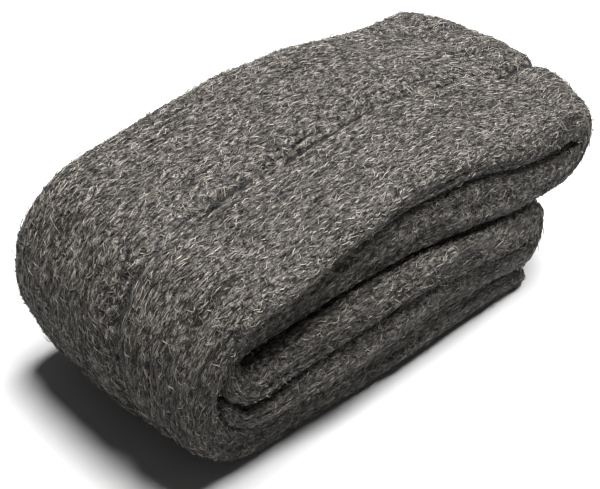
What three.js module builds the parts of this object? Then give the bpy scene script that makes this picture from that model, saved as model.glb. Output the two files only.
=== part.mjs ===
// A pad of steel wool: one soft strip of wool, creased along its middle and folded over and over
// into five plies. Millimetres, +Z up. The pad lies along X with its big turn at -X, its neat edges
// facing -Y (the near side), and its underside pressed flat at Z = 0.
import * as THREE from 'three';

// Plies, from the bench up. Each has its thickness, its reach to the near side and to the far side,
// and the place of its crease across the pad, all given at the same columns along X.
const columns = [-32, -16, 0, 16, 30];
const plies = {
  bottom: {
    thickness: [9.0, 9.2, 9.2, 7.6, 5.2],
    near: [25.4, 26.4, 27.0, 26.8, 26.2],
    far: [27.4, 27.4, 27.4, 27.4, 27.0],
    crease: [-14, -12, -10, -8, -8],
  },
  second: {
    thickness: [7.6, 8.6, 8.8, 7.8, 6.6],
    near: [27.4, 27.8, 27.8, 27.6, 27.4],
    far: [27.0, 27.0, 27.0, 27.0, 27.0],
    crease: [-4, -4, -4, -4, -4],
  },
  third: {
    thickness: [8.4, 8.4, 8.6, 9.2, 10.8],
    near: [27.6, 28.2, 28.2, 28.0, 27.6],
    far: [26.6, 26.6, 26.6, 26.6, 26.6],
    crease: [-4, -4, -4, -4, -4],
  },
  fourth: {
    thickness: [7.8, 8.6, 9.0, 9.8, 9.4],
    near: [24.8, 25.4, 26.2, 26.8, 27.2],
    far: [26.8, 27.2, 27.8, 28.2, 27.8],
    crease: [-4, -4, -4, -6, -10],
  },
  top: {
    thickness: [7.2, 5.8, 5.6, 6.2, 8.0],
    near: [28.0, 26.9, 26.3, 26.4, 27.2],
    far: [28.0, 28.4, 29.2, 29.8, 28.8],
    crease: [-5, -4, -3, -1, -2],
  },
};
const plyGap = 0.8; // air left between plies that lie on each other
const slotGap = [1.6, 2.4, 2.6, 2.0, 0.9]; // the open slot between the third and fourth plies
const upperFoldStart = 43; // the upper plies run on to here before their right fold
const slotTurnStart = -42.5; // and the third and fourth plies run on to here before their left turn
const pressedDepth = 0.1; // how far the bottom ply is pressed into the bench

// Turns. Each runs on straight for its lead past the last column, then turns round out to its reach.
// Fullness under 1 squares the turn up, where it starts and where it ends.
const bigTurn = { lead: 0, reach: -22.6, count: 5, squeeze: 0.3, fullness: [0.64, 0.84] };
const slotTurn = { lead: 0, reach: -4.6, count: 3, squeeze: 0.06, fullness: [1, 1] };
const upperFold = { lead: 6.2, reach: 5.4, count: 3, squeeze: 0.2, fullness: [1, 1] };
const lowerFold = { lead: 4.0, reach: 5.4, count: 3, squeeze: 0.1, fullness: [0.9, 0.9] };

// Free ends.
const tornNeck = { x: 34.5, z: 2.3, thickness: 4.6 };
const tornTip = { x: 38.5, z: 1.9, thickness: 3.2 };
const tail = [
  { x: -38.5, lift: 0.1, thickness: 6.6 },
  { x: -42.8, lift: 0.9, thickness: 5.0 },
  { x: -46.6, lift: 2.3, thickness: 3.4 },
];
const tipThickness = 0.34; // over its last span each end rounds off to this share of its thickness
const tipWidth = 0.88; // and to about this share of its width

// The strip's own section and crease.
const halfWidth = 28;
const edgeRound = 4.5;
const creaseDepth = 1.5;
const creaseHalfWidth = 2.4;

// How the whole pad is pressed out of square.
const padHeight = 45;
const edgeDroop = 1.6; // the top sinks this much at the long edges
const edgeLift = 2.0; // and the underside curls up this much
const edgeLiftHeight = 15; // dying out at this height
const edgeLiftEnd = [24, 36]; // and, along X, between these places
const farNarrowing = { left: 0.05, right: 0.03 };
const endRounding = { left: { near: 5.0, far: 1.5 }, right: { near: 7.6, far: 4.0 } };

const stepsPerSpan = 3;

const { clamp, lerp, smoothstep } = THREE.MathUtils;

function mixStations(a, b, share) {
  const mixed = {};
  for (const key of Object.keys(a)) {
    mixed[key] = lerp(a[key], b[key], share);
  }
  return mixed;
}

// The middle line of each ply, as stations at the columns.
function stackPlies() {
  const stacked = {};
  const base = columns.map(() => -pressedDepth);
  for (const [name, ply] of Object.entries(plies)) {
    stacked[name] = columns.map((x, i) => ({
      x,
      z: base[i] + ply.thickness[i] / 2,
      thickness: ply.thickness[i],
      near: ply.near[i],
      far: ply.far[i],
      crease: ply.crease[i],
    }));
    ply.thickness.forEach((thickness, i) => {
      base[i] += thickness + (name === 'third' ? slotGap[i] : plyGap);
    });
  }
  return stacked;
}

// Stations round a turn, from the station that leads into it to the one that leads out.
function turnStations(from, to, { lead, reach, count, squeeze, fullness }) {
  const start = { ...from, x: from.x + lead };
  const finish = { ...to, x: to.x + lead };
  const turn = lead === 0 ? [] : [start];
  for (let i = 1; i <= count; i += 1) {
    const angle = (Math.PI * i) / (count + 1);
    const share = (1 - Math.cos(angle)) / 2;
    const station = mixStations(start, finish, share);
    station.x += reach * Math.sin(angle) ** lerp(fullness[0], fullness[1], share);
    station.thickness *= 1 - squeeze * Math.sin(angle) ** 2;
    turn.push(station);
  }
  return lead === 0 ? turn : [...turn, finish];
}

// The whole route of the strip, from its torn end at the lower right to the tail tucked inside.
function foldStations() {
  const { bottom, second, third, fourth, top } = stackPlies();
  const first = 0;
  const last = columns.length - 1;
  const foldTop = { ...top[last], x: upperFoldStart, z: top[last].z - 0.7, crease: -8 };
  const foldUnder = { ...fourth[last], x: upperFoldStart, thickness: 9.4, crease: -12 };
  foldUnder.z = foldTop.z - plyGap - (foldTop.thickness + foldUnder.thickness) / 2;
  const slotOver = { ...fourth[first], x: slotTurnStart, z: fourth[first].z - 1.4, thickness: 6.2 };
  const slotUnder = { ...third[first], x: slotTurnStart, z: third[first].z - 0.1, thickness: 7.8 };
  return [
    { ...bottom[last], ...tornTip },
    { ...bottom[last], ...tornNeck },
    ...bottom.toReversed(),
    ...turnStations(bottom[first], top[first], bigTurn),
    ...top,
    foldTop,
    ...turnStations(foldTop, foldUnder, upperFold),
    foldUnder,
    ...fourth.toReversed(),
    slotOver,
    ...turnStations(slotOver, slotUnder, slotTurn),
    slotUnder,
    ...third,
    ...turnStations(third[last], second[last], lowerFold),
    ...second.toReversed(),
    ...tail.map((step) => tailStation(second[first], step)),
  ];
}

// A station of the tail, which lifts off the second ply and wraps up round the slot turn.
function tailStation(ply, { x, lift, thickness }) {
  return { ...ply, x, z: ply.z + lift, thickness };
}

// The flat strip: its section across X and Y, run out along Z for one unit a span. Its outward
// face is at Y = -1 and its inward face at Y = 1, and the fold gives it its thickness.
function flatStrip(spans) {
  const flatHalf = halfWidth - edgeRound;
  const outwardPoints = [-12, -5, -1.8, 0, 1.8, 5, 12];
  const inwardPoints = [9, 0, -9];
  const section = new THREE.Shape();
  section.moveTo(-flatHalf, -1);
  for (const across of outwardPoints) {
    section.lineTo(across, -1);
  }
  section.lineTo(flatHalf, -1);
  section.absellipse(flatHalf, 0, edgeRound, 1, -Math.PI / 2, Math.PI / 2);
  for (const across of inwardPoints) {
    section.lineTo(across, 1);
  }
  section.lineTo(-flatHalf, 1);
  section.absellipse(-flatHalf, 0, edgeRound, 1, Math.PI / 2, (3 * Math.PI) / 2);
  return new THREE.ExtrudeGeometry(section, {
    depth: spans,
    steps: spans * stepsPerSpan,
    curveSegments: 3,
    bevelEnabled: false,
  });
}

// Presses a folded point the way the whole pad is pressed.
function press(x, y, z) {
  const narrowing = farNarrowing.left * smoothstep(-x, 0, 52)
    + farNarrowing.right * smoothstep(x, 28, 36);
  const pressedY = y > 0 ? y * (1 - narrowing) : y;
  const edge = Math.abs(pressedY) / halfWidth;
  const side = y < 0 ? 'near' : 'far';
  const pressedX = x
    - endRounding.right[side] * edge ** 2 * smoothstep(x, 28, 56)
    + endRounding.left[side] * edge ** 2 * smoothstep(-x, 30, 55);
  const droop = edgeDroop * clamp(z / padHeight, 0, 1);
  const lift = edgeLift * clamp(1 - z / edgeLiftHeight, 0, 1) * (1 - smoothstep(x, ...edgeLiftEnd));
  return [pressedX, pressedY, Math.max(z, 0) + (lift - droop) * edge ** 3];
}

// Folds the flat strip along the stations and presses it.
function foldedRibbon() {
  const stations = foldStations();
  const spans = stations.length - 1;
  const route = new THREE.CatmullRomCurve3(
    stations.map(({ x, thickness, z }) => new THREE.Vector3(x, thickness, z)),
    false,
    'centripetal',
  );
  const tangentStep = 0.02 / spans;
  const geometry = flatStrip(spans);
  const position = geometry.attributes.position;
  for (let i = 0; i < position.count; i += 1) {
    const across = position.getX(i);
    const side = position.getY(i);
    const along = clamp(position.getZ(i) / spans, 0, 1);
    const middle = route.getPoint(along);
    const before = route.getPoint(Math.max(along - tangentStep, 0));
    const after = route.getPoint(Math.min(along + tangentStep, 1));
    const run = Math.hypot(after.x - before.x, after.z - before.z);
    const normalX = (after.z - before.z) / run;
    const normalZ = -(after.x - before.x) / run;

    const span = Math.min(Math.floor(along * spans), spans - 1);
    const share = smoothstep(along * spans - span, 0, 1);
    const { near, far, crease } = mixStations(stations[span], stations[span + 1], share);
    const fromTip = Math.min(position.getZ(i), spans - position.getZ(i));
    const nose = Math.sqrt(Math.max(1 - (1 - Math.min(fromTip, 1)) ** 2, tipThickness ** 2));
    const reach = across > 0 ? crease + near : far - crease;
    const y = crease - (across / halfWidth) * reach * lerp(tipWidth, 1, nose);

    let offset = (side * middle.y * nose) / 2;
    if (side < 0) {
      const height = middle.z + normalZ * offset;
      const fade = smoothstep(height, 3, 14) * smoothstep(fromTip, 1, 2);
      offset += creaseDepth * fade * Math.exp(-((across / creaseHalfWidth) ** 2));
    }
    position.setXYZ(i, ...press(middle.x + normalX * offset, y, middle.z + normalZ * offset));
  }
  geometry.computeBoundingBox();
  const { min, max } = geometry.boundingBox;
  geometry.translate(-(min.x + max.x) / 2, -(min.y + max.y) / 2, 0);
  geometry.computeVertexNormals();
  return geometry;
}

const steelWool = new THREE.MeshStandardMaterial({ color: 0x5a5753, roughness: 0.6, metalness: 0.7 });
const woolRibbon = new THREE.Mesh(foldedRibbon(), steelWool);
woolRibbon.name = 'wool_ribbon';

const steelWoolPad = new THREE.Group();
steelWoolPad.add(woolRibbon);

export default steelWoolPad;
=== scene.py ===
import math

import bpy
import numpy as np
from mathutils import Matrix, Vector
from mathutils.bvhtree import BVHTree


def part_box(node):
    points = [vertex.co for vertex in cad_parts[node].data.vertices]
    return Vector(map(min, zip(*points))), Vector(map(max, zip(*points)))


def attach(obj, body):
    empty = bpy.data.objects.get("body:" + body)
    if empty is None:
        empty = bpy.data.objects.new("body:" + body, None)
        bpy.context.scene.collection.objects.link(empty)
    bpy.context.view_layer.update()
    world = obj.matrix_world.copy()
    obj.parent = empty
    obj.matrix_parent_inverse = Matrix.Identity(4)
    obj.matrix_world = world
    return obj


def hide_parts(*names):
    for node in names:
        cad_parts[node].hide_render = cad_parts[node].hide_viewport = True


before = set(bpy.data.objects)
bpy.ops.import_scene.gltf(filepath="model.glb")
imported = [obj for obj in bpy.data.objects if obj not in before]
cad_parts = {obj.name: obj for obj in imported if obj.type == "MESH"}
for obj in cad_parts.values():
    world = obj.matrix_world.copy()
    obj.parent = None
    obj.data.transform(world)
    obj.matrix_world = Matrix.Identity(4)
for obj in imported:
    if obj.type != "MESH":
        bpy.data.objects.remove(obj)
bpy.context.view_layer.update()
padLow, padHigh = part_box("wool_ribbon")
padMiddle = (padLow + padHigh) / 2
print("frame loaded, pad", [round(side * 1000, 1) for side in padHigh - padLow], "mm")


def addNode(tree, kind, inputs=None, **settings):
    node = tree.nodes.new(kind)
    for name, value in settings.items():
        setattr(node, name, value)
    for key, value in (inputs or {}).items():
        if isinstance(value, bpy.types.NodeSocket):
            tree.links.new(value, node.inputs[key])
        else:
            node.inputs[key].default_value = value
    return node


def maths(tree, operation, first, second=0.0, third=0.0):
    inputs = {0: first, 1: second, 2: third}
    return addNode(tree, "ShaderNodeMath", inputs, operation=operation).outputs[0]


viewpoint = {
    "lens": 68.6,
    "sensor": 36.0,
    "round": 41.93,  # degrees from the near side towards the big turn
    "above": 39.21,  # degrees above the bench
    "distance": 0.23076,
    "aim": (-0.0061, -0.0004, 0.0177),
}


def placeCamera():
    turn = math.radians(viewpoint["round"])
    lift = math.radians(viewpoint["above"])
    back = Vector((-math.sin(turn) * math.cos(lift), -math.cos(turn) * math.cos(lift), math.sin(lift)))
    data = bpy.data.cameras.new("benchCamera")
    data.lens = viewpoint["lens"]
    data.sensor_width = viewpoint["sensor"]
    data.clip_start = 0.01
    camera = bpy.data.objects.new("benchCamera", data)
    bpy.context.scene.collection.objects.link(camera)
    aim = Vector((padMiddle.x, padMiddle.y, 0)) + Vector(viewpoint["aim"])
    camera.location = aim + back * viewpoint["distance"]
    camera.rotation_euler = back.to_track_quat("Z", "Y").to_euler()
    bpy.context.scene.camera = camera


lighting = {
    "skyStrength": 0.16,
    "surround": 1.0,  # what is seen past the floor
    "softbox": {"towards": (0.26, -0.02, 0.96), "spread": 32.0, "strength": 16.5},
}

benchTop = {
    "size": 3.0,
    "colour": (0.29, 0.29, 0.29, 1.0),
    "roughness": 0.9,
}


def placeLights():
    scene = bpy.context.scene
    sky = bpy.data.worlds.new("studioSky")
    sky.use_nodes = True
    tree = sky.node_tree
    background = tree.nodes["Background"]
    background.inputs["Strength"].default_value = lighting["skyStrength"]
    surround = addNode(tree, "ShaderNodeBackground", {"Strength": lighting["surround"]})
    for shader in (background, surround):
        shader.inputs["Color"].default_value = (1.0, 1.0, 1.0, 1.0)
    seen = tree.nodes.new("ShaderNodeLightPath").outputs["Is Camera Ray"]
    shaders = {0: seen, 1: background.outputs[0], 2: surround.outputs[0]}
    mixed = addNode(tree, "ShaderNodeMixShader", shaders).outputs[0]
    tree.links.new(mixed, tree.nodes["World Output"].inputs["Surface"])
    scene.world = sky
    scene.view_settings.view_transform = "Standard"
    softbox = lighting["softbox"]
    data = bpy.data.lights.new("softbox", "SUN")
    data.energy = softbox["strength"]
    data.angle = math.radians(softbox["spread"])
    lamp = bpy.data.objects.new("softbox", data)
    lamp.rotation_euler = Vector(softbox["towards"]).to_track_quat("Z", "Y").to_euler()
    scene.collection.objects.link(lamp)


def placeFloor():
    half = benchTop["size"] / 2
    mesh = bpy.data.meshes.new("benchTop")
    corners = [(-half, -half, 0), (half, -half, 0), (half, half, 0), (-half, half, 0)]
    mesh.from_pydata(corners, [], [(0, 1, 2, 3)])
    floor = bpy.data.objects.new("benchTop", mesh)
    bpy.context.scene.collection.objects.link(floor)
    paper = bpy.data.materials.new("greyPaper")
    paper.use_nodes = True
    shader = paper.node_tree.nodes["Principled BSDF"]
    shader.inputs["Base Color"].default_value = benchTop["colour"]
    shader.inputs["Roughness"].default_value = benchTop["roughness"]
    mesh.materials.append(paper)


placeCamera()
placeLights()
placeFloor()
print("camera, light and floor placed")


# The folded ribbon of wool, made as the frame's own node is but fine enough to carry its bundles.
# Sizes are in metres, and each ply's are given at the same columns along the pad.
ribbon = {
    "columns": (-0.032, -0.016, 0.0, 0.016, 0.030),
    "plies": {
        "bottom": {
            "thickness": (0.0094, 0.0096, 0.0096, 0.0080, 0.0056),
            "near": (0.0254, 0.0264, 0.0270, 0.0268, 0.0262),
            "far": (0.0274, 0.0274, 0.0274, 0.0274, 0.0270),
            "crease": (-0.014, -0.012, -0.010, -0.008, -0.008),
        },
        "second": {
            "thickness": (0.0080, 0.0090, 0.0092, 0.0082, 0.0070),
            "near": (0.0274, 0.0278, 0.0278, 0.0276, 0.0274),
            "far": (0.0270, 0.0270, 0.0270, 0.0270, 0.0270),
            "crease": (-0.004, -0.004, -0.004, -0.004, -0.004),
        },
        "third": {
            "thickness": (0.0084, 0.0084, 0.0086, 0.0092, 0.0108),
            "near": (0.0276, 0.0282, 0.0282, 0.0280, 0.0276),
            "far": (0.0266, 0.0266, 0.0266, 0.0266, 0.0266),
            "crease": (-0.004, -0.004, -0.004, -0.004, -0.004),
        },
        "fourth": {
            "thickness": (0.0090, 0.0105, 0.0111, 0.0114, 0.0101),
            "near": (0.0248, 0.0254, 0.0262, 0.0268, 0.0272),
            "far": (0.0268, 0.0272, 0.0278, 0.0282, 0.0278),
            "crease": (-0.004, -0.004, -0.004, -0.006, -0.010),
        },
        "top": {
            "thickness": (0.0072, 0.0058, 0.0056, 0.0062, 0.0080),
            "near": (0.0280, 0.0269, 0.0263, 0.0264, 0.0272),
            "far": (0.0280, 0.0284, 0.0292, 0.0298, 0.0288),
            "crease": (-0.005, -0.004, -0.003, -0.001, -0.002),
        },
    },
    "plyGap": 0.0004,  # air between plies that lie on each other
    "slotGap": (0.0006, 0.0007, 0.0007, 0.0007, 0.0005),  # between the third and fourth plies
    "pressedDepth": 0.0001,  # how far the bottom ply is pressed into the bench
    "upperFoldStart": {  # where the upper plies run on to before their right fold
        "x": 0.043,
        "over": {"sink": 0.0007, "crease": -0.008},
        "under": {"thickness": 0.0094, "crease": -0.012},
    },
    "slotTurnStart": {  # where the third and fourth plies run on to before their left turn
        "x": -0.0425,
        "over": {"sink": 0.0014, "thickness": 0.0062},
        "under": {"sink": 0.0001, "thickness": 0.0078},
    },
    # each turn goes straight on for its lead, then round out to its reach; fullness under 1 squares it up
    "bigTurn": {"lead": 0.0, "reach": -0.0226, "count": 5, "squeeze": 0.3, "fullness": (0.64, 0.84)},
    "slotTurn": {"lead": 0.0, "reach": -0.0046, "count": 3, "squeeze": 0.06, "fullness": (1, 1)},
    "upperFold": {"lead": 0.0062, "reach": 0.0054, "count": 3, "squeeze": 0.2, "fullness": (1, 1)},
    "lowerFold": {"lead": 0.0040, "reach": 0.0054, "count": 3, "squeeze": 0.1, "fullness": (0.9, 0.9)},
    "tornEnd": ((0.0385, 0.0019, 0.0032), (0.0345, 0.0023, 0.0046)),  # x, height, thickness
    "tail": (  # x, lift off the second ply, thickness
        (-0.0385, 0.0000, 0.0068), (-0.0430, 0.0007, 0.0056), (-0.0468, 0.0025, 0.0042),
        (-0.0492, 0.0056, 0.0030), (-0.0503, 0.0088, 0.0018),
    ),
    "halfWidth": 0.028,
    "edgeRound": 0.0045,  # how far in from its long edges the strip starts to round over
    "edgeFullness": 0.42,  # under 1 squares the long edges up
    "creaseDepth": 0.0015,
    "creaseHalfWidth": 0.0024,
    "creaseHeights": (0.003, 0.014),  # it fades in between these heights above the bench
    "creaseFromTip": (1, 2),  # and between these spans from either end of the strip
    "tipThickness": 0.34,  # each end rounds off to this share of its thickness
    "tipWidth": 0.88,  # and to this share of its width
    "padHeight": 0.045,
    "edgeDroop": 0.0016,  # the top sinks this much at the long edges
    "edgeLift": 0.0020,  # and the underside curls up this much
    "edgeLiftHeight": 0.015,  # dying out at this height
    "edgeLiftEnd": (0.024, 0.036),  # and between these places along the pad
    # the far side closes in by these shares at the left and right, between these places along the pad
    "narrowing": {"left": 0.05, "leftSpan": (0, 0.052), "right": 0.03, "rightSpan": (0.028, 0.036)},
    "rounding": {  # how much shorter the pad is at its long edges, at the left and the right end
        "near": (0.0050, 0.0076),
        "far": (0.0015, 0.0040),
        "leftSpan": (0.030, 0.055),
        "rightSpan": (0.028, 0.056),
    },
    "facePoints": 48,
    "edgePoints": 15,
    "stations": 400,
}


def smoothStep(low, high, value):
    share = np.clip((value - low) / (high - low), 0, 1)
    return share * share * (3 - 2 * share)


def mixStations(a, b, share):
    return {key: a[key] + (b[key] - a[key]) * share for key in a}


def stackPlies():
    stacked = {}
    base = [-ribbon["pressedDepth"]] * len(ribbon["columns"])
    for name, ply in ribbon["plies"].items():
        stacked[name] = [
            {
                "x": x,
                "thickness": ply["thickness"][i],
                "z": base[i] + ply["thickness"][i] / 2,
                "near": ply["near"][i],
                "far": ply["far"][i],
                "crease": ply["crease"][i],
            }
            for i, x in enumerate(ribbon["columns"])
        ]
        for i, thickness in enumerate(ply["thickness"]):
            base[i] += thickness + (ribbon["slotGap"][i] if name == "third" else ribbon["plyGap"])
    return stacked


def turnStations(before, after, turn):
    start = {**before, "x": before["x"] + turn["lead"]}
    finish = {**after, "x": after["x"] + turn["lead"]}
    stations = [] if turn["lead"] == 0 else [start]
    for i in range(1, turn["count"] + 1):
        angle = math.pi * i / (turn["count"] + 1)
        share = (1 - math.cos(angle)) / 2
        station = mixStations(start, finish, share)
        fullness = turn["fullness"][0] + (turn["fullness"][1] - turn["fullness"][0]) * share
        station["x"] += turn["reach"] * math.sin(angle) ** fullness
        station["thickness"] *= 1 - turn["squeeze"] * math.sin(angle) ** 2
        stations.append(station)
    return stations if turn["lead"] == 0 else stations + [finish]


def foldStations():
    plies = stackPlies()
    bottom, second, third, fourth, top = (plies[name] for name in ribbon["plies"])
    fold = ribbon["upperFoldStart"]
    over, under = fold["over"], fold["under"]
    foldTop = {**top[-1], "x": fold["x"], "z": top[-1]["z"] - over["sink"], "crease": over["crease"]}
    foldUnder = {**fourth[-1], "x": fold["x"], **under}
    apart = ribbon["plyGap"] + (foldTop["thickness"] + foldUnder["thickness"]) / 2
    foldUnder["z"] = foldTop["z"] - apart

    def besideSlot(station, change):
        moved = {"x": ribbon["slotTurnStart"]["x"], "z": station["z"] - change["sink"]}
        return {**station, **moved, "thickness": change["thickness"]}

    slotOver = besideSlot(fourth[0], ribbon["slotTurnStart"]["over"])
    slotUnder = besideSlot(third[0], ribbon["slotTurnStart"]["under"])
    return [
        *({**bottom[-1], "x": x, "z": z, "thickness": thickness} for x, z, thickness in ribbon["tornEnd"]),
        *reversed(bottom),
        *turnStations(bottom[0], top[0], ribbon["bigTurn"]),
        *top,
        foldTop,
        *turnStations(foldTop, foldUnder, ribbon["upperFold"]),
        foldUnder,
        *reversed(fourth),
        slotOver,
        *turnStations(slotOver, slotUnder, ribbon["slotTurn"]),
        slotUnder,
        *third,
        *turnStations(third[-1], second[-1], ribbon["lowerFold"]),
        *reversed(second),
        *({**second[0], "x": x, "z": second[0]["z"] + lift, "thickness": thickness}
          for x, lift, thickness in ribbon["tail"]),
    ]


# The ribbon's middle line, evenly stepped: x, thickness, z, near, far, crease and span. A centripetal
# curve runs through the first three, and the rest are eased from one station to the next.
def ribbonRoute(perSpan=40):
    stations = foldStations()
    keys = ("x", "thickness", "z", "near", "far", "crease")
    points = np.array([[station[key] for key in keys] for station in stations])
    padded = np.vstack([2 * points[0] - points[1], points, 2 * points[-1] - points[-2]])
    rows = []
    for i in range(len(points) - 1):
        p0, p1, p2, p3 = padded[i : i + 4, :3]
        d0, d1, d2 = (np.linalg.norm(b - a) ** 0.5 for a, b in ((p0, p1), (p1, p2), (p2, p3)))
        m1 = ((p1 - p0) / d0 - (p2 - p0) / (d0 + d1) + (p2 - p1) / d1) * d1
        m2 = ((p2 - p1) / d1 - (p3 - p1) / (d1 + d2) + (p3 - p2) / d2) * d1
        last = i == len(points) - 2
        t = np.linspace(0, 1, perSpan + last, endpoint=last)[:, None]
        line = p1 + m1 * t + (3 * (p2 - p1) - 2 * m1 - m2) * t**2 + (2 * (p1 - p2) + m1 + m2) * t**3
        edges = points[i, 3:] + (points[i + 1, 3:] - points[i, 3:]) * smoothStep(0, 1, t)
        rows.append(np.hstack([line, edges, i + t]))
    rows = np.vstack(rows)
    steps = np.linalg.norm(np.diff(rows[:, [0, 2]], axis=0), axis=1)
    travelled = np.concatenate([[0], np.cumsum(steps)])
    even = np.linspace(0, travelled[-1], ribbon["stations"])
    return np.stack([np.interp(even, travelled, column) for column in rows.T], 1), even


def sectionPoints():  # round the flat section from the middle of its inward face: across, side, girth
    flat = ribbon["halfWidth"] - ribbon["edgeRound"]
    half = ribbon["facePoints"] // 2
    edge = np.pi * (np.arange(ribbon["edgePoints"]) + 0.5) / ribbon["edgePoints"]
    bulge = ribbon["edgeRound"] * np.sin(edge) ** ribbon["edgeFullness"]
    face = np.linspace(-flat, flat, ribbon["facePoints"])
    inward = np.linspace(0, flat, half, endpoint=False)
    across = np.concatenate([
        -inward,
        -flat - bulge,
        face,
        flat + bulge,
        inward[::-1] + flat / half,
    ])
    side = np.concatenate([
        np.ones(half), np.cos(edge), -np.ones(ribbon["facePoints"]), -np.cos(edge), np.ones(half),
    ])
    height = side * ribbon["plies"]["top"]["thickness"][-1] / 2
    ring = np.stack([across, height], 1)
    girth = np.concatenate([[0], np.cumsum(np.linalg.norm(np.diff(ring, axis=0), axis=1))])
    return across, side, girth, girth[-1] + np.linalg.norm(ring[0] - ring[-1])


def pressed(x, y, z):  # a folded point, moved the way the whole pad is pressed
    narrow = ribbon["narrowing"]
    narrowing = narrow["left"] * smoothStep(*narrow["leftSpan"], -x)
    narrowing = narrowing + narrow["right"] * smoothStep(*narrow["rightSpan"], x)
    y = np.where(y > 0, y * (1 - narrowing), y)
    edge = np.abs(y) / ribbon["halfWidth"]
    rounding = ribbon["rounding"]
    left, right = (np.where(y < 0, near, far) for near, far in zip(rounding["near"], rounding["far"]))
    rightMove = right * edge**2 * smoothStep(*rounding["rightSpan"], x)
    leftMove = left * edge**2 * smoothStep(*rounding["leftSpan"], -x)
    x = x - rightMove + leftMove
    droop = ribbon["edgeDroop"] * np.clip(z / ribbon["padHeight"], 0, 1)
    lift = ribbon["edgeLift"] * np.clip(1 - z / ribbon["edgeLiftHeight"], 0, 1)
    lift = lift * (1 - smoothStep(*ribbon["edgeLiftEnd"], x))
    return np.stack([x, y, np.maximum(z, 0) + (lift - droop) * edge**3], -1)


def foldRibbon():
    route, travelled = ribbonRoute()
    across, side, girth, fullGirth = sectionPoints()
    x, thickness, z, near, far, crease, span = (column[:, None] for column in route.T)
    tangent = np.gradient(route[:, [0, 2]], travelled, axis=0)
    tangent /= np.linalg.norm(tangent, axis=1)[:, None]
    normalX, normalZ = tangent[:, 1:], -tangent[:, :1]
    fromTip = np.minimum(span, span.max() - span)
    nose = np.sqrt(np.maximum(1 - (1 - np.minimum(fromTip, 1)) ** 2, ribbon["tipThickness"] ** 2))
    reach = np.where(across > 0, crease + near, far - crease)
    tip = ribbon["tipWidth"] + (1 - ribbon["tipWidth"]) * nose
    y = crease - across / ribbon["halfWidth"] * reach * tip
    offset = side * thickness * nose / 2
    fade = smoothStep(*ribbon["creaseHeights"], z + normalZ * offset)
    fade = fade * smoothStep(*ribbon["creaseFromTip"], fromTip)
    dip = ribbon["creaseDepth"] * np.exp(-((across / ribbon["creaseHalfWidth"]) ** 2))
    offset = offset + np.where(side < 0, dip * fade, 0)
    grid = pressed(x + normalX * offset, y, z + normalZ * offset)
    shift = (grid.reshape(-1, 3).min(0) + grid.reshape(-1, 3).max(0)) / 2
    grid[..., 0] += padMiddle.x - shift[0]
    grid[..., 1] += padMiddle.y - shift[1]
    return grid, travelled, girth, fullGirth


def gridNormals(grid):
    along = np.gradient(grid, axis=0)
    around = np.roll(grid, -1, 1) - np.roll(grid, 1, 1)
    normal = np.cross(around, along)
    return normal / np.maximum(np.linalg.norm(normal, axis=2), 1e-12)[..., None]


def ribbonMesh(name, grid, travelled, girth, fullGirth):  # closed, with a flat cap over each end
    rows, ring = grid.shape[:2]
    i, j = np.meshgrid(np.arange(rows - 1), np.arange(ring), indexing="ij")
    k = (j + 1) % ring
    quads = np.stack([i * ring + j, i * ring + k, (i + 1) * ring + k, (i + 1) * ring + j], -1)
    quads = quads.reshape(-1, 4)
    edge = ribbon["facePoints"] // 2 + ribbon["edgePoints"] // 2
    out = np.arange(edge, edge + ring // 2 + 1)
    back = (edge - np.arange(ring // 2 + 1)) % ring
    cap = np.stack([out[:-1], out[1:], back[1:], back[:-1]], -1).tolist()
    cap[0].pop()
    cap[-1].pop(1)
    endCap = [[(rows - 1) * ring + corner for corner in face] for face in cap]
    cap = [face[::-1] for face in cap]
    mesh = bpy.data.meshes.new(name)
    mesh.from_pydata(grid.reshape(-1, 3).tolist(), [], quads.tolist() + cap + endCap)
    mesh.update()
    uvLayer = mesh.uv_layers.new(name="strandMap")
    u = travelled / travelled[-1]
    v = np.append(girth, fullGirth) / fullGirth
    quadUv = np.stack([
        np.stack([u[i], v[j]], -1),
        np.stack([u[i], v[j + 1]], -1),
        np.stack([u[i + 1], v[j + 1]], -1),
        np.stack([u[i + 1], v[j]], -1),
    ], 2).reshape(-1, 2)
    capCorners = np.array([corner for face in cap + endCap for corner in face])
    capUv = np.stack([u[capCorners // ring], v[capCorners % ring]], -1)
    uvLayer.uv.foreach_set("vector", np.concatenate([quadUv, capUv]).astype(np.float32).ravel())
    mesh.polygons.foreach_set("use_smooth", [True] * len(mesh.polygons))
    return mesh


# How open to the air each place is, so that strands follow the folds and painted shade fills the hollows.
openAir = {
    "rowStep": 5,
    "ringStep": 3,
    "rays": 28,
    "reach": 0.016,  # a wall nearer than this counts as closing the place off
    "standOff": 0.0004,
}


def skyDirections(count):  # evenly spread over the half round a normal, thicker towards it
    turn = math.pi * (3 - math.sqrt(5))
    for i in range(count):
        out = math.sqrt((i + 0.5) / count)
        yield out * math.cos(i * turn), out * math.sin(i * turn), math.sqrt(1 - out * out)


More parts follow.
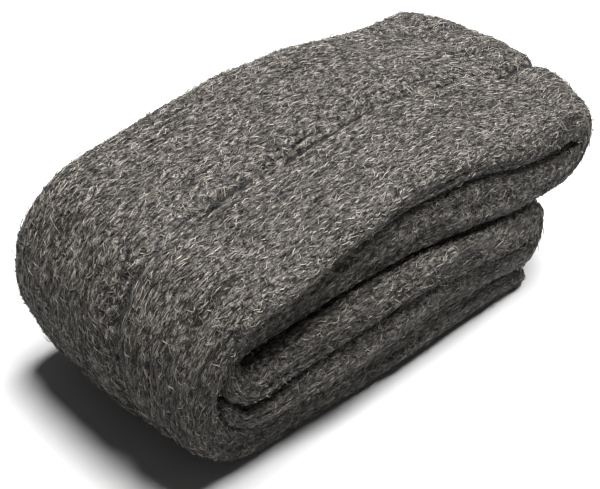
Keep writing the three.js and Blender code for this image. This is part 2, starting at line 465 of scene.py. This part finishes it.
def opennessGrid(mesh, grid, normals):
    tree = BVHTree.FromPolygons(
        [vertex.co for vertex in mesh.vertices],
        [list(face.vertices) for face in mesh.polygons if len(face.vertices) == 4],
    )
    directions = list(skyDirections(openAir["rays"]))
    rows = np.unique(np.append(np.arange(0, grid.shape[0], openAir["rowStep"]), grid.shape[0] - 1))
    ring = np.arange(0, grid.shape[1], openAir["ringStep"])
    coarse = np.zeros((len(rows), len(ring)))
    reach = openAir["reach"]
    for a, i in enumerate(rows):
        for b, j in enumerate(ring):
            normal = Vector(normals[i, j])
            start = Vector(grid[i, j]) + normal * openAir["standOff"]
            side = normal.orthogonal().normalized()
            other = normal.cross(side)
            clear = 0
            for x, y, z in directions:
                ray = side * x + other * y + normal * z
                if ray.z < 0 and start.z + ray.z * reach < 0:  # the bench closes this one off
                    continue
                clear += tree.ray_cast(start, ray, reach)[0] is None
            coarse[a, b] = clear / len(directions)
    wrapped = np.concatenate([coarse, coarse[:, :1]], 1)
    ringAt = np.append(ring, grid.shape[1])
    acrossRing = np.stack([np.interp(np.arange(grid.shape[1]), ringAt, row) for row in wrapped])
    return np.stack([np.interp(np.arange(grid.shape[0]), rows, column) for column in acrossRing.T], 1)


# Bundles of strands lift and sink the surface, and thin dark partings run between them.
bundles = (
    {"along": 0.040, "across": 0.0052, "height": 0.00045, "seed": 11},
    {"along": 0.022, "across": 0.0020, "height": 0.00026, "seed": 23},
    {"along": 0.007, "across": 0.0009, "height": 0.00014, "seed": 37},
)

lifting = {
    "free": (0.35, 0.65),  # a bundle's share of its height where no air reaches, and what open air adds
    "freeAir": (0.05, 0.45),
    "edgeRough": 1.4,  # how much rougher the long edges are than the faces
    "edgeAir": (0.02, 0.20),
    "benchSkin": 0.0002,  # what lies lower than this stays flat on the bench
}

partings = {
    "count": 300,
    "length": (0.008, 0.040),
    "width": (0.00022, 0.00050),
    "strength": (0.30, 0.95),
    "wander": 0.0009,
    "firstStart": -0.020,  # a parting may begin this far before the torn end
    "waves": (160, 430),  # radians a metre of the slow sway and the quick one
    "quickWave": 0.6,  # the quick one's size against the slow one's
    "fade": 0.7,  # under 1 keeps a parting dark for more of its length
    "depth": 0.00050,
    "seed": 53,
    "crease": {
        "width": 0.00130,
        "strength": 1.9,
        "steady": (0.55, 0.45),  # the share that is always there, and what comes and goes
        "patch": 0.007,  # length of a stretch that comes or goes
        "patchEdge": (-0.3, 0.6),
        "wander": 0.0009,
        "sways": 40,  # over the whole ribbon
        "seed": 59,
    },
}


def valueNoise(seed, u, v, cells):  # smooth noise from -1 to 1, closed round v
    lattice = np.random.default_rng(seed).uniform(-1, 1, (cells[0] + 2, cells[1]))
    lattice = np.concatenate([lattice, lattice[:, :1]], 1)
    u, v = np.broadcast_arrays(np.clip(u, 0, cells[0]), v)
    i, j = u.astype(int), np.clip(v.astype(int), 0, cells[1] - 1)
    a, b = smoothStep(0, 1, u - i), smoothStep(0, 1, v - j)
    near = lattice[i, j] * (1 - b) + lattice[i, j + 1] * b
    far = lattice[i + 1, j] * (1 - b) + lattice[i + 1, j + 1] * b
    return near * (1 - a) + far * a


def bundleHeight(bundle, travelled, girth, fullGirth):
    cells = int(travelled[-1] / bundle["along"]) + 1, max(int(fullGirth / bundle["across"]), 4)
    u = travelled[:, None] / bundle["along"]
    v = girth[None, :] / fullGirth * cells[1]
    return valueNoise(bundle["seed"], u, v, cells) * bundle["height"]


def partingGrid(travelled, girth, fullGirth):  # how parted each place is, and how far from the crease
    chance = np.random.default_rng(partings["seed"])
    found = np.zeros((len(travelled), len(girth)))

    def part(middle, width, strength):
        apart = np.abs(girth[None, :] - middle[:, None])
        apart = np.minimum(apart, fullGirth - apart)
        np.maximum(found, strength[:, None] * np.exp(-((apart / width) ** 2)), out=found)

    for _ in range(partings["count"]):
        start = chance.uniform(partings["firstStart"], travelled[-1])
        length = chance.uniform(*partings["length"])
        middle = chance.uniform(0, fullGirth)
        width = chance.uniform(*partings["width"])
        strength = chance.uniform(*partings["strength"])
        phase = chance.uniform(0, math.tau, 2)
        share = np.clip((travelled - start) / length, 0, 1)
        slow, quick = (np.sin(travelled * wave + turn) for wave, turn in zip(partings["waves"], phase))
        sway = slow + partings["quickWave"] * quick
        fade = np.sin(math.pi * share) ** partings["fade"]
        part((middle + partings["wander"] * sway) % fullGirth, width, strength * fade)

    crease = partings["crease"]

    def alongRibbon(seed, cells):
        return valueNoise(seed, travelled * cells / travelled[-1], np.zeros(1), (cells, 1))

    broken = alongRibbon(crease["seed"], int(travelled[-1] / crease["patch"]) + 1)
    sway = alongRibbon(crease["seed"] + 1, crease["sways"])
    always, sometimes = crease["steady"]
    strength = crease["strength"] * (always + sometimes * smoothStep(*crease["patchEdge"], broken))
    middle = fullGirth / 2 + crease["wander"] * sway
    part(middle, crease["width"], strength)
    return found, girth[None, :] - middle[:, None]


def liftBundles(grid, normals, openness, parting, travelled, girth, fullGirth):
    side = sectionPoints()[1]
    closed, opened = lifting["free"]
    free = closed + opened * smoothStep(*lifting["freeAir"], openness)
    rough = 1 + lifting["edgeRough"] * (1 - np.abs(side)) * smoothStep(*lifting["edgeAir"], openness)
    large, *small = (bundleHeight(bundle, travelled, girth, fullGirth) for bundle in bundles)
    height = large + sum(small) * rough
    moved = grid + normals * (height * free - partings["depth"] * parting)[..., None]
    onBench = grid[..., 2] < lifting["benchSkin"]
    moved[..., 2] = np.where(onBench, grid[..., 2], np.maximum(moved[..., 2], 0))
    return moved


growing = {
    "air": (0.02, 0.35),  # strands come in between these shares of open air
    "mostParted": 0.97,
    "fewerBelow": 0.7,  # what the underside loses
    "belowFacing": (0.3, 0.9),
    "atTornEnd": 3,  # times as many at the torn end
    "tornEndLength": 0.010,
}


def growthGrid(openness, parting, normals, travelled):  # each place's share of the full number of strands
    growth = smoothStep(*growing["air"], openness) * (1 - np.minimum(parting, growing["mostParted"]))
    growth *= 1 - growing["fewerBelow"] * smoothStep(*growing["belowFacing"], -normals[..., 2])
    more = growing["atTornEnd"]
    growth *= more - (more - 1) * smoothStep(0.0, growing["tornEndLength"], travelled)[:, None]
    return growth


# Strands are laid along the ribbon by one node tree.
strandSockets = {
    "Wool": "NodeSocketGeometry",
    "Density": "NodeSocketFloat",
    "Shortest": "NodeSocketFloat",
    "Longest": "NodeSocketFloat",
    "Radius": "NodeSocketFloat",
    "Rise": "NodeSocketFloat",
    "Bury": "NodeSocketFloat",
    "Loose End": "NodeSocketFloat",
    "Turn": "NodeSocketFloat",
    "Wave": "NodeSocketFloat",
    "Points": "NodeSocketInt",
    "Ribbon Length": "NodeSocketFloat",
    "Ribbon Girth": "NodeSocketFloat",
    "Seed": "NodeSocketInt",
    "Steel": "NodeSocketMaterial",
}

strandShape = {
    "leastRise": 0.15,  # the lowest strand's share of its layer's rise
    "waviness": 7.0,  # radians of sideways wave from one end of a strand to the other
    "ends": (0.003, 0.997),  # shares of the ribbon's length that strands keep between
    "benchClearance": 0.0002,
    "tip": 0.4,  # a strand's thickness at its ends, as a share of its middle
    "swell": 0.6,  # and what the middle adds
}


def randomOnPoints(tree, points, name, low, high, seed):
    value = addNode(tree, "FunctionNodeRandomValue", data_type="FLOAT")
    for socket, amount in ((value.inputs[2], low), (value.inputs[3], high), (value.inputs["Seed"], seed)):
        if isinstance(amount, bpy.types.NodeSocket):
            tree.links.new(amount, socket)
        else:
            socket.default_value = amount
    return addNode(
        tree, "GeometryNodeStoreNamedAttribute",
        {"Geometry": points, "Name": name, "Value": value.outputs[1]}, data_type="FLOAT", domain="POINT",
    ).outputs[0]


def readNumber(tree, name):
    return addNode(tree, "GeometryNodeInputNamedAttribute", {"Name": name}, data_type="FLOAT").outputs[0]


def strandTree():
    tree = bpy.data.node_groups.new("layStrands", "GeometryNodeTree")
    for name, kind in strandSockets.items():
        tree.interface.new_socket(name, in_out="INPUT", socket_type=kind)
    tree.interface.new_socket("Strands", in_out="OUTPUT", socket_type="NodeSocketGeometry")
    given = tree.nodes.new("NodeGroupInput").outputs
    result = tree.nodes.new("NodeGroupOutput")

    density = maths(tree, "MULTIPLY", given["Density"], readNumber(tree, "growth"))
    points = addNode(
        tree, "GeometryNodeDistributePointsOnFaces",
        {"Mesh": given["Wool"], "Density": density, "Seed": given["Seed"]}, distribute_method="RANDOM",
    ).outputs["Points"]
    turnLow = maths(tree, "MULTIPLY", given["Turn"], -1.0)
    waveLow = maths(tree, "MULTIPLY", given["Wave"], -1.0)
    chances = (
        ("strandSpan", given["Shortest"], given["Longest"]),
        ("strandTurn", turnLow, given["Turn"]),
        ("strandWave", waveLow, given["Wave"]),
        ("strandPhase", 0.0, math.tau),
        ("strandRise", strandShape["leastRise"], 1.0),
        ("strandTone", 0.0, 1.0),
    )
    for place, (name, low, high) in enumerate(chances):
        seed = maths(tree, "ADD", given["Seed"], place + 1.0)
        points = randomOnPoints(tree, points, name, low, high, seed)

    line = addNode(tree, "GeometryNodeCurvePrimitiveLine", {"End": (1.0, 0.0, 0.0)}).outputs[0]
    line = addNode(tree, "GeometryNodeResampleCurve", {"Curve": line, "Count": given["Points"]}).outputs[0]
    placed = addNode(tree, "GeometryNodeInstanceOnPoints", {"Points": points, "Instance": line}).outputs[0]
    curves = addNode(tree, "GeometryNodeRealizeInstances", {"Geometry": placed}).outputs[0]

    along = tree.nodes.new("GeometryNodeSplineParameter").outputs["Factor"]
    middle = maths(tree, "SUBTRACT", along, 0.5)
    reach = maths(tree, "MULTIPLY", middle, readNumber(tree, "strandSpan"))
    turn = readNumber(tree, "strandTurn")
    phase = readNumber(tree, "strandPhase")
    bend = maths(tree, "SINE", maths(tree, "MULTIPLY_ADD", along, strandShape["waviness"], phase))
    sideways = maths(
        tree, "MULTIPLY_ADD", reach, maths(tree, "SINE", turn),
        maths(tree, "MULTIPLY", bend, readNumber(tree, "strandWave")),
    )
    root = addNode(
        tree, "GeometryNodeInputNamedAttribute", {"Name": "strandMap"}, data_type="FLOAT_VECTOR",
    ).outputs[0]
    rootParts = addNode(tree, "ShaderNodeSeparateXYZ", {"Vector": root}).outputs
    forward = maths(tree, "MULTIPLY", reach, maths(tree, "COSINE", turn))
    u = maths(tree, "ADD", rootParts["X"], maths(tree, "DIVIDE", forward, given["Ribbon Length"]))
    v = maths(tree, "ADD", rootParts["Y"], maths(tree, "DIVIDE", sideways, given["Ribbon Girth"]))
    first, last = strandShape["ends"]
    u = maths(tree, "MINIMUM", maths(tree, "MAXIMUM", u, first), last)
    place = addNode(tree, "ShaderNodeCombineXYZ", {"X": u, "Y": maths(tree, "FRACT", v)}).outputs[0]

    def onWool(value):
        return addNode(
            tree, "GeometryNodeSampleUVSurface",
            {"Mesh": given["Wool"], "Value": value, "Source UV Map": root, "Sample UV": place},
            data_type="FLOAT_VECTOR",
        ).outputs["Value"]

    surface = onWool(tree.nodes.new("GeometryNodeInputPosition").outputs[0])
    normal = onWool(tree.nodes.new("GeometryNodeInputNormal").outputs[0])
    halfCircle = maths(tree, "MULTIPLY", along, math.pi)
    comesBack = maths(tree, "MULTIPLY_ADD", given["Loose End"], -0.5, 1.0)  # a loose end stays up
    arch = maths(tree, "SINE", maths(tree, "MULTIPLY", halfCircle, comesBack))
    rise = maths(tree, "MULTIPLY", arch, given["Rise"])
    rise = maths(tree, "MULTIPLY", rise, readNumber(tree, "strandRise"))
    lift = maths(tree, "SUBTRACT", rise, given["Bury"])
    raised = addNode(tree, "ShaderNodeVectorMath", {0: normal, "Scale": lift}, operation="SCALE").outputs[0]
    lifted = addNode(tree, "ShaderNodeVectorMath", {0: surface, 1: raised}, operation="ADD").outputs[0]
    parts = addNode(tree, "ShaderNodeSeparateXYZ", {"Vector": lifted}).outputs
    height = maths(tree, "MAXIMUM", parts["Z"], strandShape["benchClearance"])
    aboveBench = addNode(
        tree, "ShaderNodeCombineXYZ", {"X": parts["X"], "Y": parts["Y"], "Z": height},
    ).outputs[0]
    curves = addNode(
        tree, "GeometryNodeSetPosition", {"Geometry": curves, "Position": aboveBench},
    ).outputs[0]

    profile = addNode(
        tree, "GeometryNodeCurvePrimitiveCircle", {"Resolution": 3, "Radius": given["Radius"]},
    ).outputs[0]
    bulge = maths(tree, "SINE", halfCircle)
    taper = maths(tree, "MULTIPLY_ADD", bulge, strandShape["swell"], strandShape["tip"])
    tubes = addNode(
        tree, "GeometryNodeCurveToMesh",
        {"Curve": curves, "Profile Curve": profile, "Scale": taper, "Fill Caps": True},
    ).outputs[0]
    whole = addNode(tree, "GeometryNodeRealizeInstances", {"Geometry": tubes}).outputs[0]
    finished = addNode(
        tree, "GeometryNodeSetMaterial", {"Geometry": whole, "Material": given["Steel"]},
    ).outputs[0]
    tree.links.new(finished, result.inputs[0])
    return tree


def layStrands(name, layer, tree, wool, area, steel):
    holder = bpy.data.objects.new(name + "Holder", wool.data.copy())
    bpy.context.scene.collection.objects.link(holder)
    modifier = holder.modifiers.new("layStrands", "NODES")
    modifier.node_group = tree
    sockets = {item.name: item.identifier for item in tree.interface.items_tree if item.in_out == "INPUT"}
    values = {
        "Density": layer["count"] / area,
        "Shortest": layer["length"][0],
        "Longest": layer["length"][1],
        "Radius": layer["radius"],
        "Rise": layer["rise"],
        "Bury": layer["bury"],
        "Loose End": layer["looseEnd"],
        "Turn": layer["turn"],
        "Wave": layer["wave"],
        "Points": layer["points"],
        "Ribbon Length": float(travelled[-1]),
        "Ribbon Girth": float(fullGirth),
        "Seed": layer["seed"],
        "Steel": steel,
    }
    for key, value in values.items():
        modifier[sockets[key]] = value
    holder.update_tag()
    evaluated = holder.evaluated_get(bpy.context.evaluated_depsgraph_get())
    mesh = bpy.data.meshes.new_from_object(evaluated)
    mesh.name = name
    strands = bpy.data.objects.new(name, mesh)
    bpy.context.scene.collection.objects.link(strands)
    holderMesh = holder.data
    bpy.data.objects.remove(holder)
    bpy.data.meshes.remove(holderMesh)
    triangles = sum(len(face.vertices) - 2 for face in mesh.polygons)
    print(name, triangles, "triangles")
    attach(strands, "root")


def strandGrainGroup():  # thin wandering lines along the ribbon, 1 on a line and 0 between
    group = bpy.data.node_groups.new("strandGrain", "ShaderNodeTree")
    for name, kind in (
        ("Vector", "NodeSocketVector"), ("Along", "NodeSocketFloat"), ("Across", "NodeSocketFloat"),
        ("Turn", "NodeSocketFloat"), ("Sharpness", "NodeSocketFloat"),
    ):
        group.interface.new_socket(name, in_out="INPUT", socket_type=kind)
    group.interface.new_socket("Line", in_out="OUTPUT", socket_type="NodeSocketFloat")
    given = group.nodes.new("NodeGroupInput").outputs
    result = group.nodes.new("NodeGroupOutput")
    turned = addNode(
        group, "ShaderNodeVectorRotate", {"Vector": given["Vector"], "Angle": given["Turn"]},
        rotation_type="Z_AXIS",
    ).outputs[0]
    parts = addNode(group, "ShaderNodeSeparateXYZ", {"Vector": turned}).outputs
    stretched = addNode(
        group, "ShaderNodeCombineXYZ",
        {"X": maths(group, "MULTIPLY", parts["X"], given["Along"]),
         "Y": maths(group, "MULTIPLY", parts["Y"], given["Across"])},
    ).outputs[0]
    noise = addNode(
        group, "ShaderNodeTexNoise", {"Vector": stretched, "Scale": 1.0, "Detail": 1.0, "Roughness": 0.5},
        noise_dimensions="2D",
    ).outputs[0]
    ridge = maths(group, "ABSOLUTE", maths(group, "SUBTRACT", noise, 0.5))
    line = maths(group, "SUBTRACT", 1.0, maths(group, "MULTIPLY", ridge, given["Sharpness"]))
    group.links.new(maths(group, "MAXIMUM", line, 0.0), result.inputs[0])
    return group


def newSteel(name, look):
    steel = bpy.data.materials.new(name)
    steel.use_nodes = True
    shader = steel.node_tree.nodes["Principled BSDF"]
    shader.inputs["Metallic"].default_value = look["metallic"]
    shader.inputs["Specular IOR Level"].default_value = look["specular"]
    shader.inputs["Roughness"].default_value = look["roughness"]
    return steel, steel.node_tree, shader


woolLook = {
    "dark": (0.0012, 0.0011, 0.0010, 1.0),
    "bright": (0.180, 0.164, 0.144, 1.0),
    "lines": (  # per metre along, per metre across, turn, sharpness
        (420, 2100, 0.04, 15.0),
        (480, 2400, 0.24, 16.0),
        (460, 2300, -0.22, 16.0),
        (700, 2900, 0.60, 19.0),
    ),
    "clumps": {"cells": (620, 1700), "contrast": 3.4, "offset": -1.05},  # cells a metre, along and across
    "furrows": {"lines": (34, 300, 0.0, 15.0), "cells": (60, 150), "contrast": 6.0, "offset": -2.7},
    # the crease line is painted shade in the colour as well as a dip in the bump
    "crease": {  # gone at its strength times its width from the middle
        "width": 0.00050, "strength": 1.8, "faintest": 0.2,
        "cells": (90, 0.0), "contrast": 5.0, "offset": -1.6,
    },
    # painted shade: the wool's colour darkens where little air reaches
    "paintedHollowShade": {"closed": 0.05, "open": 0.5, "darkest": 0.6},  # by how open to the air a place is
    "gapPaintedShade": 0.9,
    "gapDepth": 2.0,  # against the height of a line
    "roughness": 0.55,
    "metallic": 0.20,
    "specular": 0.30,
    "bumpHeight": 0.00022,
}


def woolSteel():
    steel, tree, shader = newSteel("woolSteel", woolLook)
    place = addNode(tree, "ShaderNodeUVMap", uv_map="strandMap").outputs[0]
    metres = addNode(
        tree, "ShaderNodeVectorMath", {0: place, 1: (float(travelled[-1]), float(fullGirth), 1.0)},
        operation="MULTIPLY",
    ).outputs[0]
    grain = strandGrainGroup()

    def grainLines(along, across, turn, sharpness):
        inputs = {"Vector": metres, "Along": along, "Across": across, "Turn": turn, "Sharpness": sharpness}
        return addNode(tree, "ShaderNodeGroup", inputs, node_tree=grain).outputs["Line"]

    def patches(look):  # soft patches that gather and break up the lines
        stretched = addNode(
            tree, "ShaderNodeVectorMath", {0: metres, 1: (*look["cells"], 1.0)}, operation="MULTIPLY",
        ).outputs[0]
        noise = addNode(
            tree, "ShaderNodeTexNoise", {"Vector": stretched, "Scale": 1.0, "Detail": 1.0},
            noise_dimensions="2D",
        ).outputs[0]
        return maths(tree, "MULTIPLY_ADD", noise, look["contrast"], look["offset"])

    def attribute(name):
        return addNode(tree, "ShaderNodeAttribute", attribute_name=name).outputs["Fac"]

    lines, *others = (grainLines(*layer) for layer in woolLook["lines"])
    for layer in others:
        lines = maths(tree, "MAXIMUM", lines, layer)
    shine = maths(tree, "MULTIPLY", lines, patches(woolLook["clumps"]))
    colour = addNode(
        tree, "ShaderNodeMix", {"Factor": shine, 6: woolLook["dark"], 7: woolLook["bright"]},
        data_type="RGBA",
    ).outputs[2]

    # the gaps between bundles: loose furrows, and the crease along the middle of the outward face
    # they sink the bump and darken the colour as painted shade
    furrow = woolLook["furrows"]
    gathered = maths(tree, "MINIMUM", patches(furrow), 1.0)
    furrows = maths(tree, "MULTIPLY", grainLines(*furrow["lines"]), gathered)
    crease = woolLook["crease"]
    apart = maths(tree, "DIVIDE", maths(tree, "ABSOLUTE", attribute("fromCrease")), crease["width"])
    creaseLine = maths(tree, "SUBTRACT", crease["strength"], apart)
    broken = maths(tree, "MAXIMUM", patches(crease), crease["faintest"])
    creaseLine = maths(tree, "MULTIPLY", creaseLine, maths(tree, "MINIMUM", broken, 1.0))
    gap = maths(tree, "MAXIMUM", maths(tree, "MAXIMUM", furrows, creaseLine), 0.0)
    gap = maths(tree, "MINIMUM", gap, 1.0)

    # painted shade: places closed to the air are darkened in the wool's colour
    paintedHollowShade = woolLook["paintedHollowShade"]
    air = {"Value": attribute("openness"), "From Min": paintedHollowShade["closed"], "From Max": paintedHollowShade["open"]}
    shade = addNode(tree, "ShaderNodeMapRange", {**air, "To Min": paintedHollowShade["darkest"]}).outputs[0]
    # painted shade in the furrows and the crease
    gapShade = maths(tree, "MULTIPLY_ADD", gap, -woolLook["gapPaintedShade"], 1.0)
    shade = maths(tree, "MULTIPLY", shade, gapShade)
    shaded = addNode(
        tree, "ShaderNodeVectorMath", {0: colour, "Scale": shade}, operation="SCALE",
    ).outputs[0]
    tree.links.new(shaded, shader.inputs["Base Color"])
    height = maths(tree, "MULTIPLY_ADD", gap, -woolLook["gapDepth"], lines)
    bump = addNode(
        tree, "ShaderNodeBump", {"Height": height, "Distance": woolLook["bumpHeight"], "Strength": 1.0},
    ).outputs[0]
    tree.links.new(bump, shader.inputs["Normal"])
    return steel


strandLook = {
    "tones": (  # share of the strands, colour
        (0.0, (0.0015, 0.0014, 0.0012, 1.0)),
        (0.3, (0.020, 0.0182, 0.0160, 1.0)),
        (0.7, (0.086, 0.0783, 0.0688, 1.0)),
        (1.0, (0.26, 0.236, 0.207, 1.0)),
    ),
    "roughness": 0.45,
    "metallic": 0.35,
    "specular": 0.40,
}


def strandSteel():
    steel, tree, shader = newSteel("strandSteel", strandLook)
    tone = addNode(tree, "ShaderNodeAttribute", attribute_name="strandTone").outputs["Fac"]
    ramp = tree.nodes.new("ShaderNodeValToRGB")
    steps = ramp.color_ramp.elements
    for place, colour in strandLook["tones"]:
        step = steps[0] if place == 0 else steps[-1] if place == 1 else steps.new(place)
        step.color = colour
    tree.links.new(tone, ramp.inputs[0])
    tree.links.new(ramp.outputs[0], shader.inputs["Base Color"])
    return steel


grid, travelled, girth, fullGirth = foldRibbon()
normals = gridNormals(grid)
smoothMesh = ribbonMesh("smoothRibbon", grid, travelled, girth, fullGirth)
openness = opennessGrid(smoothMesh, grid, normals)
bpy.data.meshes.remove(smoothMesh)
print("openness measured, from", round(openness.min(), 2), "to", round(openness.max(), 2))

parting, fromCrease = partingGrid(travelled, girth, fullGirth)
growth = growthGrid(openness, parting, normals, travelled)
grid = liftBundles(grid, normals, openness, parting, travelled, girth, fullGirth)
woolMesh = ribbonMesh("woolRibbon", grid, travelled, girth, fullGirth)
for name, values in (("openness", openness), ("fromCrease", fromCrease), ("growth", growth)):
    attribute = woolMesh.attributes.new(name, "FLOAT", "POINT")
    attribute.data.foreach_set("value", values.astype(np.float32).ravel())
woolMesh.materials.append(woolSteel())
woolRibbon = bpy.data.objects.new("woolRibbon", woolMesh)
bpy.context.scene.collection.objects.link(woolRibbon)
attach(woolRibbon, "root")
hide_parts("wool_ribbon")
print("ribbon folded,", len(woolMesh.polygons), "faces")


# The layers of strands, from the wool outwards: how many, their sizes in metres, how far each may turn
# off the ribbon's run in radians, and how many points carry it.
strandLayers = {
    "lowStrands": {
        "count": 9400, "length": (0.0012, 0.0026), "radius": 0.00009, "rise": 0.00018, "bury": 0.00003,
        "looseEnd": 0.0, "turn": 0.40, "wave": 0.00028, "points": 4, "seed": 101,
    },
    "crossStrands": {
        "count": 9400, "length": (0.0011, 0.0022), "radius": 0.00009, "rise": 0.00024, "bury": 0.00003,
        "looseEnd": 0.0, "turn": 0.80, "wave": 0.00032, "points": 4, "seed": 211,
    },
    "topStrands": {
        "count": 9400, "length": (0.0012, 0.0026), "radius": 0.00008, "rise": 0.00032, "bury": 0.00003,
        "looseEnd": 0.0, "turn": 0.50, "wave": 0.00034, "points": 4, "seed": 307,
    },
    "looseStrands": {
        "count": 9400, "length": (0.0010, 0.0022), "radius": 0.00007, "rise": 0.00075, "bury": 0.00004,
        "looseEnd": 0.8, "turn": 1.5, "wave": 0.00045, "points": 4, "seed": 401,
    },
    "shortStrands": {
        "count": 7000, "length": (0.0008, 0.0017), "radius": 0.00007, "rise": 0.00050, "bury": 0.00004,
        "looseEnd": 0.6, "turn": 1.5, "wave": 0.00035, "points": 4, "seed": 503,
    },
}


def growingArea(grid, growth):  # the ribbon's area, each part counted by its share of strands
    around = np.roll(grid, -1, 1) - grid
    forward = np.gradient(grid, axis=0)
    return float((np.linalg.norm(np.cross(around, forward), axis=2) * growth).sum())


steel = strandSteel()
tree = strandTree()
area = growingArea(grid, growth)
print("strands grow on", round(area * 1e4), "square centimetres")
for name, layer in strandLayers.items():
    layStrands(name, layer, tree, woolRibbon, area, steel)
